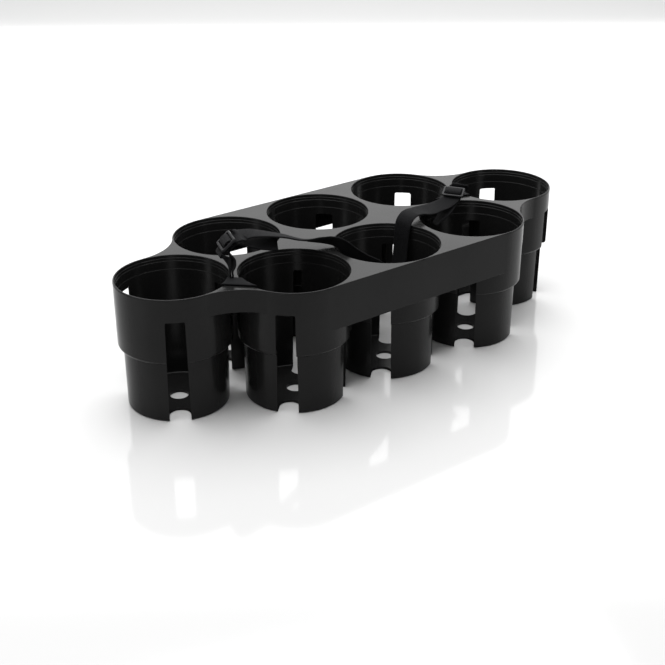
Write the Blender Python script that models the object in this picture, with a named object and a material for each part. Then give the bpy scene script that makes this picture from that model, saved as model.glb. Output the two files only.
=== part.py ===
"""Bottle carrier: eight moulded cups hung from one deck, with a webbing carry strap.

The tray is one moulding. It is divided here halfway between neighbouring cups, so that each
cup with its share of the deck and skirt is a solid of its own. The strap is one webbing,
anchored round a neck of the deck at each end and adjusted by two slide buckles.
+X runs along the deck, +Z is up, and the origin is under the middle of the tray.
"""

from math import cos, hypot, pi, radians, sin, sqrt

import bmesh
import bpy
import numpy as np
from mathutils import Matrix, Vector

MM = 0.001

# Shared clearances
running_gap = 0.3 * MM
overrun = 6.0 * MM

# Cup
cup_bore_radius = 40.0 * MM
cup_height = 95.0 * MM
rim_wall = 1.2 * MM
cup_gap = 2.7 * MM
rim_band_height = 11.0 * MM
rim_band_step = 0.6 * MM
upper_draft = 0.3 * MM
shoulder_height = 48.6 * MM
shoulder_radius = 2.6 * MM
shoulder_step = 3.9 * MM
shoulder_fall = 0.5 * MM
lower_draft = 0.4 * MM
lower_wall = 1.6 * MM
floor_thickness = 2.0 * MM
base_edge_radius = 1.2 * MM
base_hole_radius = 6.8 * MM
cup_segments = 32
hole_segments = 16

# Windows in the cup walls, each running out through the floor
window_top_depth = 16.8 * MM
window_top_width = 13.6 * MM
window_bottom_width = 15.2 * MM
window_corner_radius = 1.4 * MM
notch_inner_radius = 20.0 * MM

# Deck and skirt
deck_thickness = 2.0 * MM
deck_land_depth = 1.0 * MM
skirt_thickness = 1.8 * MM
skirt_inset = 0.15 * MM
skirt_side_height = 33.0 * MM
skirt_saddle_height = 17.0 * MM

# Strap webbing
strap_width = 12.7 * MM
strap_thickness = 1.2 * MM
left_neck_offset = 16.8 * MM
left_foot_offset = 6.6 * MM
right_neck_offset = 20.0 * MM
right_foot_offset = 21.5 * MM
wrap_skew_share = 0.25
slot_depth = 10.0 * MM
slot_height = 3.7 * MM
slot_margin = 1.2 * MM
tail_clearance = 1.0 * MM

# Slide buckles
buckle_length = 12.6 * MM
buckle_thickness = 1.8 * MM
buckle_rail_width = 1.9 * MM
buckle_end_bar = 1.5 * MM
buckle_middle_bar = 2.0 * MM
buckle_corner_radius = 1.8 * MM
buckle_edge_radius = 0.35 * MM

# Everything below follows from the sizes above.
cup_outer_radius = cup_bore_radius + rim_wall
cup_pitch = 2 * cup_outer_radius + cup_gap
end_reach = cup_pitch * (1 + sqrt(3) / 2)
skirt_radius = cup_outer_radius - skirt_inset
saddle_radius = cup_pitch - skirt_radius
window_end_radius = cup_outer_radius + cup_gap / 2
window_top_height = cup_height - window_top_depth

cup_places = {
    "end_cup_left": (-end_reach, 0),
    "front_cup_left": (-cup_pitch, -cup_pitch / 2),
    "front_cup_middle": (0, -cup_pitch / 2),
    "front_cup_right": (cup_pitch, -cup_pitch / 2),
    "back_cup_left": (-cup_pitch, cup_pitch / 2),
    "back_cup_middle": (0, cup_pitch / 2),
    "back_cup_right": (cup_pitch, cup_pitch / 2),
    "end_cup_right": (end_reach, 0),
}
row_window_degrees = (45, 135, 225, 315)
window_degrees = {name: row_window_degrees for name in cup_places}
window_degrees["end_cup_left"] = (0, 120, 240)
window_degrees["end_cup_right"] = (60, 180, 300)

# The strap's route over the tray, as shares of the cup pitch: x, y and height over the deck,
# then the direction that its width points in, towards the front edge.
left_run_shares = (
    ((-1.411, -0.280, 0.324), (-0.32, -0.92, -0.24)),
    ((-1.340, -0.257, 0.317), (-0.38, -0.90, -0.20)),
    ((-1.244, -0.261, 0.308), (-0.45, -0.89, -0.08)),
    ((-1.146, -0.266, 0.283), (-0.51, -0.86, 0.06)),
    ((-1.047, -0.267, 0.251), (-0.56, -0.81, 0.18)),
    ((-0.921, -0.254, 0.204), (-0.57, -0.78, 0.25)),
    ((-0.790, -0.246, 0.148), (-0.58, -0.76, 0.30)),
    ((-0.708, -0.238, 0.116), (-0.57, -0.74, 0.36)),
    ((-0.630, -0.236, 0.094), (-0.55, -0.70, 0.45)),
    ((-0.567, -0.248, 0.082), (-0.50, -0.65, 0.57)),
    ((-0.508, -0.277, 0.074), (-0.45, -0.59, 0.67)),
    ((-0.457, -0.322, 0.068), (-0.38, -0.51, 0.77)),
)
dip_shares = (
    ((-0.416, -0.376, 0.054), (-0.20, -0.58, 0.79)),
    ((-0.333, -0.415, -0.035), (0.00, -0.54, 0.84)),
    ((-0.232, -0.440, -0.123), (0.10, -0.48, 0.87)),
    ((-0.069, -0.443, -0.228), (0.18, -0.60, 0.76)),
    ((0.059, -0.417, -0.364), (0.22, -0.80, 0.54)),
    ((0.153, -0.382, -0.482), (0.26, -0.92, 0.28)),
    ((0.223, -0.347, -0.535), (0.28, -0.95, 0.10)),
    ((0.288, -0.311, -0.494), (0.30, -0.95, 0.03)),
    ((0.321, -0.290, -0.400), (0.30, -0.95, 0.00)),
    ((0.343, -0.281, -0.282), (0.32, -0.94, -0.04)),
    ((0.358, -0.277, -0.153), (0.35, -0.93, -0.09)),
    ((0.370, -0.273, -0.041), (0.40, -0.87, -0.25)),
    ((0.390, -0.269, 0.026), (0.40, -0.86, -0.30)),
    ((0.434, -0.259, 0.066), (0.31, -0.90, -0.27)),
)
right_run_shares = (
    ((0.499, -0.243, 0.082), (0.20, -0.96, -0.19)),
    ((0.595, -0.221, 0.072), (-0.10, -0.98, -0.14)),
    ((0.750, -0.184, 0.040), (-0.08, -0.94, -0.33)),
    ((0.908, -0.150, 0.028), (0.10, -0.94, -0.31)),
    ((1.008, -0.146, 0.038), (0.50, -0.82, -0.25)),
)
left_rise_shares = (
    ((-1.510, -0.316, 0.094), (-0.25, -0.97, 0.00)),
    ((-1.532, -0.282, 0.155), (0.10, -0.99, 0.00)),
)
left_return_shares = (
    ((-1.472, -0.330, 0.090), (-0.40, -0.92, 0.00)),
    ((-1.470, -0.318, 0.140), (-0.25, -0.97, 0.00)),
    ((-1.481, -0.280, 0.172), (-0.36, -0.93, 0.00)),
)
left_tail_shares = (
    ((-1.334, -0.257, 0.259), (-0.36, -0.90, -0.20)),
    ((-1.228, -0.261, 0.219), (-0.36, -0.86, -0.35)),
    ((-1.116, -0.268, 0.187), (-0.42, -0.80, -0.42)),
    ((-1.006, -0.274, 0.158), (-0.44, -0.78, -0.42)),
)
right_rise_shares = (
    ((1.310, -0.010, 0.060), (-0.20, -0.98, 0.00)),
    ((1.300, -0.050, 0.100), (0.20, -0.98, 0.00)),
    ((1.272, -0.062, 0.142), (0.48, -0.88, -0.04)),
)
right_return_shares = (((1.255, -0.020, 0.050), (0.10, -0.99, 0.00)),)
right_tail_shares = (
    ((1.040, -0.148, 0.012), (0.45, -0.88, -0.10)),
    ((0.985, -0.160, -0.047), (0.00, -0.99, 0.05)),
    ((0.922, -0.162, -0.098), (-0.30, -0.94, 0.12)),
    ((0.867, -0.162, -0.135), (-0.43, -0.89, 0.15)),
)

# Each buckle: its centre as shares of the pitch, the way the strap leaves it towards the
# middle of the carrier, and the way its width points.
buckle_places = {
    "left": ((-1.486, -0.239, 0.288), (0.70, -0.20, 0.68), (-0.32, -0.95, -0.03)),
    "right": ((1.147, -0.103, 0.106), (-0.777, -0.571, -0.262), (0.594, -0.80, -0.025)),
}


def clear_scene():
    for scene_object in list(bpy.data.objects):
        bpy.data.objects.remove(scene_object, do_unlink=True)


def make_material(name, colour, roughness):
    material = bpy.data.materials.new(name)
    material.use_nodes = True
    shader = material.node_tree.nodes["Principled BSDF"]
    shader.inputs["Base Color"].default_value = (*colour, 1)
    shader.inputs["Roughness"].default_value = roughness
    shader.inputs["Metallic"].default_value = 0
    return material


def object_from_bmesh(name, shape, material=None):
    """Put a bmesh into a new object, shaded smooth with its real corners kept sharp."""
    bmesh.ops.recalc_face_normals(shape, faces=shape.faces)
    mesh = bpy.data.meshes.new(name)
    shape.to_mesh(mesh)
    shape.free()
    mesh.shade_smooth()
    mesh.set_sharp_from_angle(angle=radians(35))
    if material:
        mesh.materials.append(material)
    new_object = bpy.data.objects.new(name, mesh)
    bpy.context.scene.collection.objects.link(new_object)
    return new_object


def as_guide(guide):
    guide.hide_render = True
    guide.display_type = "WIRE"
    return guide


def combine(target, tool, operation, solver="EXACT"):
    modifier = target.modifiers.new(tool.name, "BOOLEAN")
    modifier.operation = operation
    modifier.solver = solver
    modifier.object = tool


def lofted(name, rings, material=None, closed=False):
    """Skin rings of equal point count, and close the two end rings with faces."""
    shape = bmesh.new()
    loops = [[shape.verts.new(point) for point in ring] for ring in rings]
    count = len(loops[0])
    last = len(loops) if closed else len(loops) - 1
    for row in range(last):
        lower = loops[row]
        upper = loops[(row + 1) % len(loops)]
        for column in range(count):
            following = (column + 1) % count
            shape.faces.new((lower[column], lower[following], upper[following], upper[column]))
    if not closed:
        shape.faces.new(list(reversed(loops[0])))
        shape.faces.new(loops[-1])
    return object_from_bmesh(name, shape, material)


def circle(centre, radius, segments, height):
    angles = [2 * pi * step / segments for step in range(segments)]
    return [(centre[0] + radius * cos(a), centre[1] + radius * sin(a), height) for a in angles]


def turned(name, centre, profile, segments, material=None):
    """A solid of revolution about a vertical axis, from (radius, height) pairs going up."""
    rings = [circle(centre, radius, segments, height) for radius, height in profile]
    return lofted(name, rings, material)


def fillet(centre_radius, centre_height, radius, start, end, steps):
    angles = [radians(start + (end - start) * step / steps) for step in range(steps + 1)]
    return [(centre_radius + radius * cos(a), centre_height + radius * sin(a)) for a in angles]


def cup_outside():
    """The cup's outer profile, from the base up to just under the deck's face."""
    upper_radius = cup_outer_radius - upper_draft
    lower_radius = upper_radius - shoulder_step
    base_radius = lower_radius - lower_draft
    profile = fillet(base_radius - base_edge_radius, base_edge_radius, base_edge_radius, -90, 0, 2)
    ledge_height = shoulder_height - shoulder_radius
    profile.append((lower_radius, ledge_height - shoulder_fall))
    profile += fillet(upper_radius - shoulder_radius, shoulder_height, shoulder_radius, -90, 0, 3)
    profile.append((cup_outer_radius, cup_height - deck_land_depth))
    return profile


def cup_inside():
    """The bore's profile, from the floor up through the open rim."""
    upper_radius = cup_bore_radius - rim_band_step - upper_draft
    lower_radius = cup_outer_radius - upper_draft - shoulder_step - lower_wall
    floor_radius = lower_radius - lower_draft / 2
    ledge_height = shoulder_height - shoulder_radius + lower_wall
    inner_radius = shoulder_radius - lower_wall / 2
    profile = [(floor_radius, floor_thickness), (lower_radius, ledge_height)]
    profile += fillet(upper_radius - inner_radius, ledge_height + inner_radius, inner_radius, -90, 0, 2)
    step_height = cup_height - rim_band_height
    profile.append((cup_bore_radius - rim_band_step, step_height))
    profile.append((cup_bore_radius, step_height + rim_band_step))
    profile.append((cup_bore_radius, cup_height + overrun))
    return profile


def arc(centre, radius, start, end, steps):
    angles = [radians(start + (end - start) * step / steps) for step in range(steps + 1)]
    return [(centre[0] + radius * cos(a), centre[1] + radius * sin(a)) for a in angles]


def tray_outline(inset):
    """The deck's outline, anticlockwise from the front right cup, with the skirt's depth there."""
    swell = skirt_radius - inset
    hollow = saddle_radius + inset
    side = skirt_side_height
    saddle = skirt_saddle_height
    quarter = []
    corner = arc((cup_pitch, -cup_pitch / 2), swell, -90, -30, 6)
    quarter += [(point, side) for point in corner[:2]]
    quarter += [(point, saddle) for point in corner[2:]]
    neck = arc((end_reach, -cup_pitch), hollow, 150, 90, 8)
    quarter += [(point, saddle) for point in neck[1:]]
    end = arc((end_reach, 0), swell, -90, 0, 9)
    quarter += [(point, saddle) for point in end[1:]]
    half = quarter + [((x, -y), depth) for (x, y), depth in reversed(quarter[:-1])]
    return half + [((-x, -y), depth) for (x, y), depth in half]


def tray_shell():
    """The deck plate with its skirt, as a tray upside down."""
    outer = tray_outline(0)
    inner = tray_outline(skirt_thickness)
    deck_under = cup_height - deck_thickness
    top = [(x, y, cup_height) for (x, y), depth in outer]
    skirt_outside = [(x, y, cup_height - depth) for (x, y), depth in outer]
    skirt_inside = [(x, y, cup_height - depth) for (x, y), depth in inner]
    underside = [(x, y, deck_under) for (x, y), depth in inner]
    return as_guide(lofted("tray_shell", [underside, skirt_inside, skirt_outside, top]))


def clipped(outline, point, normal):
    """Keep the part of a convex outline that lies behind the line through point."""
    kept = []
    for start, end in zip(outline, outline[1:] + outline[:1]):
        before = (start[0] - point[0]) * normal[0] + (start[1] - point[1]) * normal[1]
        after = (end[0] - point[0]) * normal[0] + (end[1] - point[1]) * normal[1]
        if before <= 0:
            kept.append(start)
        if before * after < 0:
            share = before / (before - after)
            kept.append(tuple(a + (b - a) * share for a, b in zip(start, end)))
    return kept


def cell_prism(name):
    """The block that holds one cup's share of the moulding, halfway to each neighbour."""
    centre = cup_places[name]
    reach = cup_pitch
    signs = ((-1, -1), (1, -1), (1, 1), (-1, 1))
    outline = [(centre[0] + reach * a, centre[1] + reach * b) for a, b in signs]
    for place in cup_places.values():
        away = (place[0] - centre[0], place[1] - centre[1])
        distance = hypot(*away)
        if overrun < distance < cup_pitch + overrun:
            normal = (away[0] / distance, away[1] / distance)
            back = (distance - running_gap) / 2
            point = (centre[0] + normal[0] * back, centre[1] + normal[1] * back)
            outline = clipped(outline, point, normal)
    heights = (-overrun, cup_height + overrun)
    rings = [[(x, y, height) for x, y in outline] for height in heights]
    return as_guide(lofted(name + "_cell", rings))


def window_cutter(name, centre, degrees):
    """A window through the wall that runs down and out through the floor as a round notch."""
    turn = radians(degrees)
    along = (cos(turn), sin(turn))
    across = (-sin(turn), cos(turn))
    notch_radius = window_bottom_width / 2
    notch_centre = notch_inner_radius + notch_radius
    taper = (window_bottom_width - window_top_width) / 2 / window_top_height
    corner = window_corner_radius
    levels = ((-overrun, 0), (window_top_height - corner, 0), (window_top_height, corner))
    rings = []
    for height, pinch in levels:
        half = notch_radius - taper * height - pinch
        plan = arc((notch_centre, 0), half, 90, 270, 6)
        plan += [(window_end_radius, -half), (window_end_radius, half)]
        rings.append([(centre[0] + along[0] * out + across[0] * side,
                       centre[1] + along[1] * out + across[1] * side, height) for out, side in plan])
    return as_guide(lofted(name, rings))


def neck_frame(first, second):
    """The middle of the land between two cups, the way across it and the way outwards."""
    start = Vector(cup_places[first])
    end = Vector(cup_places[second])
    across = (end - start).normalized()
    outward = Vector((across.y, -across.x))
    return (start + end) / 2, across, outward


necks = {"left": neck_frame("end_cup_left", "front_cup_left"),
         "right": neck_frame("back_cup_right", "end_cup_right")}
neck_cups = {"left": ("end_cup_left", "front_cup_left"),
             "right": ("back_cup_right", "end_cup_right")}
neck_skew_shares = {"left": wrap_skew_share, "right": -wrap_skew_share}
neck_offsets = {"left": left_neck_offset, "right": right_neck_offset}
foot_offsets = {"left": left_foot_offset, "right": right_foot_offset}


def neck_reach(skew_share, offset, radius):
    """How far across a neck a circle about the cup's axis lies, at an offset along the neck."""
    reach = cup_gap
    for attempt in range(12):
        along = offset + skew_share * reach
        reach = cup_pitch / 2 - sqrt(radius ** 2 - along ** 2)
    return reach


def slot_cutter(side):
    """The opening through both cup walls beside a neck, under the deck, for the strap."""
    middle, across, outward = necks[side]
    half = strap_width / 2 + slot_margin
    offset = neck_offsets[side]
    spread = neck_reach(wrap_skew_share, offset + half, cup_bore_radius - rim_band_step)
    sideways = spread * wrap_skew_share
    top = cup_height - slot_depth
    rings = []
    for height in (top - slot_height, top):
        corners = ((-1, -1), (1, -1), (1, 1), (-1, 1))
        ring = []
        for a, b in corners:
            place = middle + outward * (offset + (half + sideways) * a)
            place = place + across * (spread + lower_wall) * b
            ring.append((place.x, place.y, height))
        rings.append(ring)
    return as_guide(lofted("slot_" + side, rings))


def cup_cell(name, shell, slots, material):
    """One cup with its share of the deck. The solver that keeps closed meshes closed suits it."""
    centre = cup_places[name]
    cup = turned(name, centre, cup_outside(), cup_segments, material)
    combine(cup, shell, "UNION", "MANIFOLD")
    combine(cup, cell_prism(name), "INTERSECT", "MANIFOLD")
    bore = as_guide(turned(name + "_bore", centre, cup_inside(), cup_segments))
    combine(cup, bore, "DIFFERENCE", "MANIFOLD")
    hole_levels = [(base_hole_radius, -overrun), (base_hole_radius, floor_thickness + overrun)]
    hole = as_guide(turned(name + "_hole", centre, hole_levels, hole_segments))
    combine(cup, hole, "DIFFERENCE", "MANIFOLD")
    for number, degrees in enumerate(window_degrees[name]):
        window = window_cutter(f"{name}_window_{number}", centre, degrees)
        combine(cup, window, "DIFFERENCE", "MANIFOLD")
    for side, slot in slots.items():
        if name in neck_cups[side]:
            combine(cup, slot, "DIFFERENCE", "MANIFOLD")


def strap_wrap(side, material):
    """The closed band of webbing round a neck, through the slots on both sides of it."""
    middle, across, outward = necks[side]
    skew = neck_skew_shares[side]
    deck = cup_height + running_gap
    under = cup_height - slot_depth - slot_height + running_gap + strap_thickness
    wall_side = cup_bore_radius - running_gap
    faces = ((wall_side, deck, under + strap_thickness), (wall_side - strap_thickness,
             deck + strap_thickness, under))
    rings = []
    offsets = [neck_offsets[side] + strap_width * share for share in (-0.5, -0.25, 0, 0.25, 0.5)]
    for layer, (radius, top, bottom) in enumerate(faces):
        for offset in (offsets if layer == 0 else reversed(offsets)):
            ring = []
            right = neck_reach(skew, offset, radius)
            left = -neck_reach(-skew, offset, radius)
            rounding = strap_thickness * (0.25 + layer)
            path = [(left, top - rounding), (left + rounding * 0.3, top - rounding * 0.3),
                    (left + rounding, top), (right - rounding, top),
                    (right - rounding * 0.3, top - rounding * 0.3), (right, top - rounding),
                    (right, bottom + rounding), (right - rounding * 0.3, bottom + rounding * 0.3),
                    (right - rounding, bottom), (left + rounding, bottom),
                    (left + rounding * 0.3, bottom + rounding * 0.3), (left, bottom + rounding)]
            for aside, height in path:
                place = middle + across * aside + outward * (offset + skew * aside)
                ring.append((place.x, place.y, height))
            rings.append(ring)
    lofted("strap_wrap_" + side, rings, material, closed=True)


def buckle_axes(side):
    """A buckle's centre, the way along the strap, the way across it and the way out of it."""
    place, along, across = buckle_places[side]
    across = Vector(across).normalized()
    along = Vector(along)
    along = (along - across * along.dot(across)).normalized()
    towards_right = 1 if side == "left" else -1
    above = across.cross(along) * towards_right
    return on_tray(place), along, across, above


def on_tray(place_shares):
    x, y, height = place_shares
    return Vector((cup_pitch * x, cup_pitch * y, cup_height + cup_pitch * height))


def at_buckle(side, along_distance, above_distance):
    centre, along, across, above = buckle_axes(side)
    return centre + along * along_distance + above * above_distance, across


def stations_of(shares):
    return [(on_tray(place), Vector(width)) for place, width in shares]


def smooth(rows, steps):
    """Rows along a smooth curve through rows that start with a place, and its direction there."""
    rows = np.array(rows, float)
    chords = np.linalg.norm(np.diff(rows[:, :3], axis=0), axis=1)[:, None]
    slopes = np.diff(rows, axis=0) / chords
    inner = (slopes[:-1] * chords[1:] + slopes[1:] * chords[:-1]) / (chords[1:] + chords[:-1])
    bends = np.vstack([slopes[:1], inner, slopes[-1:]])
    curve = []
    for index, chord in enumerate(chords):
        start, end = rows[index], rows[index + 1]
        leaving, arriving = bends[index] * chord, bends[index + 1] * chord
        for step in range(steps + (index == len(chords) - 1)):
            t = step / steps
            place = ((2 * t ** 3 - 3 * t ** 2 + 1) * start + (t ** 3 - 2 * t ** 2 + t) * leaving
                     + (3 * t ** 2 - 2 * t ** 3) * end + (t ** 3 - t ** 2) * arriving)
            speed = ((6 * t ** 2 - 6 * t) * (start - end) + (3 * t ** 2 - 4 * t + 1) * leaving
                     + (3 * t ** 2 - 2 * t) * arriving)
            curve.append((place, speed[:3]))
    return curve


def ribbon_rings(stations, steps, square=True):
    """The four-cornered sections of a flat webbing along stations of place and width way.

    Square sections stand across the route, and the others keep the stations' own width way.
    """
    rows = [(*place, *way.normalized()) for place, way in stations]
    rings = []
    for row, speed in smooth(rows, steps):
        place = Vector(row[:3])
        forward = Vector(speed).normalized()
        across = Vector(row[3:6])
        if square:
            across = across - forward * across.dot(forward)
        across.normalize()
        normal = across.cross(forward).normalized()
        half = across * (strap_width / 2)
        lift = normal * (strap_thickness / 2)
        rings.append([place - half - lift, place + half - lift, place + half + lift, place - half + lift])
    return rings


def long_route():
    """The main webbing from the left buckle over the tray and through the cup to the right one."""
    under = -(buckle_thickness / 2 + running_gap + strap_thickness / 2)
    outer_end = buckle_length / 2 + strap_thickness
    inner_end = buckle_length / 2
    sunk = under - strap_thickness * 0.35
    left = [at_buckle("left", -outer_end, under), at_buckle("left", 0, under),
            at_buckle("left", inner_end * 0.7, sunk)]
    right = [at_buckle("right", inner_end * 0.7, sunk), at_buckle("right", 0, under),
             at_buckle("right", -outer_end, under)]
    stations = left + stations_of(left_run_shares)
    first = len(stations) - 1
    stations += stations_of(dip_shares)
    second = len(stations) - 1
    stations += stations_of(right_run_shares) + right
    return stations, first, second


def pulled_back(ring, towards, distance):
    """A section moved towards its neighbour, so that two stretches meet across a gap."""
    centre = sum(ring, Vector()) / len(ring)
    way = (sum(towards, Vector()) / len(towards) - centre).normalized()
    return [corner + way * distance for corner in ring]


def main_webbing(material):
    """The long stretch of webbing in three pieces: two runs on the deck and the dip between."""
    steps = 3
    stations, first, second = long_route()
    rings = ribbon_rings(stations, steps)
    spans = {"strap_run_left": (0, first * steps), "strap_dip": (first * steps, second * steps),
             "strap_run_right": (second * steps, len(rings) - 1)}
    half_gap = running_gap / 2
    for name, (start, end) in spans.items():
        piece = [list(ring) for ring in rings[start:end + 1]]
        if start > 0:
            piece[0] = pulled_back(piece[0], piece[1], half_gap)
        if end < len(rings) - 1:
            piece[-1] = pulled_back(piece[-1], piece[-2], half_gap)
        lofted(name, piece, material)


def foot_stations(side, side_of_fold):
    """Where a layer of webbing stands on the wrap, on one side of the fold."""
    middle, across, outward = necks[side]
    place = middle + outward * foot_offsets[side] + across * (strap_thickness * side_of_fold)
    seat = cup_height + running_gap + strap_thickness + running_gap
    heights = (seat, seat + strap_thickness)
    return [(Vector((place.x, place.y, height)), outward.to_3d()) for height in heights]


def anchor_layers(side, rise_shares, return_shares, tail_shares, fold_side, material):
    """The two layers between a buckle and its neck, the inner one ending as the free tail."""
    under = -(buckle_thickness / 2 + running_gap + strap_thickness / 2)
    below = under - strap_thickness - tail_clearance
    outer_end = buckle_length / 2 + strap_thickness + running_gap
    rise = foot_stations(side, -fold_side) + stations_of(rise_shares)
    rise.append(at_buckle(side, -outer_end - 2 * strap_thickness, under - strap_thickness * 0.7))
    rise.append(at_buckle(side, -outer_end, under))
    lofted("strap_rise_" + side, ribbon_rings(rise, 4, square=False), material)
    tail = foot_stations(side, fold_side) + stations_of(return_shares)
    tail.append(at_buckle(side, -buckle_length / 3, below - strap_thickness))
    tail += [at_buckle(side, -buckle_middle_bar / 2, below),
             at_buckle(side, buckle_length / 4, below - strap_thickness / 2)]
    tail += stations_of(tail_shares)
    lofted("strap_tail_" + side, ribbon_rings(tail, 4, square=False), material)


def rounded_block(length, width, thickness, corner, name, material=None):
    """A flat block with rounded upright corners, centred on its origin."""
    centre_x = length / 2 - corner
    centre_y = width / 2 - corner
    plan = []
    for quadrant, (a, b) in enumerate(((1, 1), (-1, 1), (-1, -1), (1, -1))):
        plan += arc((centre_x * a, centre_y * b), corner, 90 * quadrant, 90 * quadrant + 90, 4)
    rings = [[(x, y, height) for x, y in plan] for height in (-thickness / 2, thickness / 2)]
    return lofted(name, rings, material)


def buckle(side, frame_material, strap_material):
    """A slide buckle: a frame with a middle bar, and the webbing folded over that bar."""
    centre, along, across, above = buckle_axes(side)
    frame_width = strap_width + 2 * (running_gap + buckle_rail_width)
    name = "buckle_" + side
    sideways = across if side == "left" else -across
    axes = Matrix((along, -sideways, above)).transposed().to_4x4()
    axes.translation = centre
    frame = rounded_block(buckle_length, frame_width, buckle_thickness, buckle_corner_radius,
                          name, frame_material)
    slot_length = (buckle_length - 2 * buckle_end_bar - buckle_middle_bar) / 2
    slot_middle = (buckle_middle_bar + slot_length) / 2
    for number, way in enumerate((-1, 1)):
        slot = rounded_block(slot_length, strap_width + 2 * running_gap, buckle_thickness + overrun,
                             buckle_edge_radius, f"{name}_slot_{number}")
        as_guide(slot)
        slot.matrix_world = axes @ Matrix.Translation((slot_middle * way, 0, 0))
        combine(frame, slot, "DIFFERENCE")
    softening = frame.modifiers.new("edges", "BEVEL")
    softening.width = buckle_edge_radius
    softening.segments = 1
    softening.limit_method = "ANGLE"
    softening.angle_limit = radians(50)
    frame.matrix_world = axes
    top = buckle_thickness / 2 + running_gap + strap_thickness / 2
    side_place = slot_middle + running_gap
    path = [(-side_place, -buckle_thickness / 2), (-side_place * 0.98, 0), (-side_place * 0.8, top * 0.62),
            (-side_place * 0.4, top * 0.95), (0, top), (side_place * 0.4, top * 0.95),
            (side_place * 0.8, top * 0.62), (side_place * 0.98, 0), (side_place, -buckle_thickness / 2)]
    stations = [(Vector((place, 0, height)), Vector((0, 1, 0))) for place, height in path]
    fold = lofted("strap_fold_" + side, ribbon_rings(stations, 2), strap_material)
    fold.matrix_world = axes


def build():
    clear_scene()
    tray_plastic = make_material("tray_plastic", (0.022, 0.022, 0.023), 0.42)
    webbing = make_material("webbing", (0.030, 0.031, 0.034), 0.85)
    buckle_plastic = make_material("buckle_plastic", (0.020, 0.020, 0.022), 0.30)
    shell = tray_shell()
    slots = {side: slot_cutter(side) for side in necks}
    for name in cup_places:
        cup_cell(name, shell, slots, tray_plastic)
    main_webbing(webbing)
    anchor_layers("left", left_rise_shares, left_return_shares, left_tail_shares, 1, webbing)
    anchor_layers("right", right_rise_shares, right_return_shares, right_tail_shares, -1, webbing)
    for side in necks:
        strap_wrap(side, webbing)
        buckle(side, buckle_plastic, webbing)


build()
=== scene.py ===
"""Looks of the bottle carrier: the moulded tray, the woven strap and its slide buckles.

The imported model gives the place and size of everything. Lengths are in metres, +X runs along
the deck, +Z is up, and the tray stands on the plane through the origin.
"""

from math import cos, pi, radians, sin, sqrt

import bmesh
import bpy
import numpy as np
from mathutils import Matrix, Vector


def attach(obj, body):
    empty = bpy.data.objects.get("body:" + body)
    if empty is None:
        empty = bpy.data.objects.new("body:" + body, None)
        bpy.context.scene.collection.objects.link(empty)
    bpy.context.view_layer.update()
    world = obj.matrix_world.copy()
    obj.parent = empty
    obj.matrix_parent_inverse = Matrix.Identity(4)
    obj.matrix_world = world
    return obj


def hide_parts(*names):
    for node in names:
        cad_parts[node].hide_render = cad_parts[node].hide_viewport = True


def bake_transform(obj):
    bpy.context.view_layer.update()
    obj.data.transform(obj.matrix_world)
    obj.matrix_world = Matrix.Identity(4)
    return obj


MM = 0.001

# Cup
cup_bore_radius = 40.0 * MM
cup_height = 95.0 * MM
rim_wall = 1.2 * MM
cup_gap = 2.7 * MM
rim_rounding = 0.5 * MM
lip_drop_share = 0.98
rim_steps = ((2.3 * MM, 0.3 * MM), (4.4 * MM, 0.3 * MM), (10.6 * MM, 0.25 * MM))
upper_draft = 0.3 * MM
shoulder_height = 48.6 * MM
shoulder_radius = 2.6 * MM
shoulder_step = 3.9 * MM
shoulder_fall = 0.5 * MM
lower_draft = 0.4 * MM
lower_wall = 1.6 * MM
floor_thickness = 2.0 * MM
base_edge_radius = 1.2 * MM
base_hole_radius = 6.8 * MM
overrun = 6.0 * MM

# Windows
window_top_depth = 16.8 * MM
window_top_width = 13.6 * MM
window_bottom_width = 15.2 * MM
window_corner_radius = 1.4 * MM
notch_inner_radius = 20.0 * MM
wall_facing_share = 0.6

# Deck and skirt
deck_thickness = 2.0 * MM
skirt_thickness = 1.8 * MM
skirt_inset = 0.15 * MM
skirt_side_height = 33.0 * MM
skirt_saddle_height = 17.0 * MM
skirt_edge_radius = 0.4 * MM
moulded_edge_radius = 0.5 * MM
deck_land_depth = 1.0 * MM
deck_edge_share = 0.9

# Webbing
strap_width = 12.7 * MM
strap_thickness = 1.2 * MM
running_gap = 0.3 * MM
left_neck_offset = 16.8 * MM
left_foot_offset = 6.6 * MM
left_foot_aside = -1.8 * MM
right_neck_offset = 20.0 * MM
right_foot_offset = 21.5 * MM
wrap_skew_share = 0.25
slot_depth = 10.0 * MM
slot_height = 3.7 * MM
slot_margin = 1.2 * MM
tail_clearance = 1.0 * MM
outer_bend_share = 1.25
selvedge_place_share = 0.49
selvedge_pinch_share = 0.25
layer_drop_share = 0.7
strap_sink_share = 0.35
strap_sink_place_share = 0.7

# Slide buckles
buckle_length = 12.6 * MM
buckle_thickness = 1.8 * MM
buckle_rail_width = 1.9 * MM
buckle_end_bar = 1.5 * MM
buckle_middle_bar = 2.0 * MM
buckle_corner_radius = 1.8 * MM
rail_squareness = 0.55
middle_bar_height_share = 0.36

cup_outer_radius = cup_bore_radius + rim_wall
cup_pitch = 2 * cup_outer_radius + cup_gap
end_reach = cup_pitch * (1 + sqrt(3) / 2)
skirt_radius = cup_outer_radius - skirt_inset
saddle_radius = cup_pitch - skirt_radius
window_top_height = cup_height - window_top_depth
buckle_to_strap = buckle_thickness / 2 + running_gap + strap_thickness / 2

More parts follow.
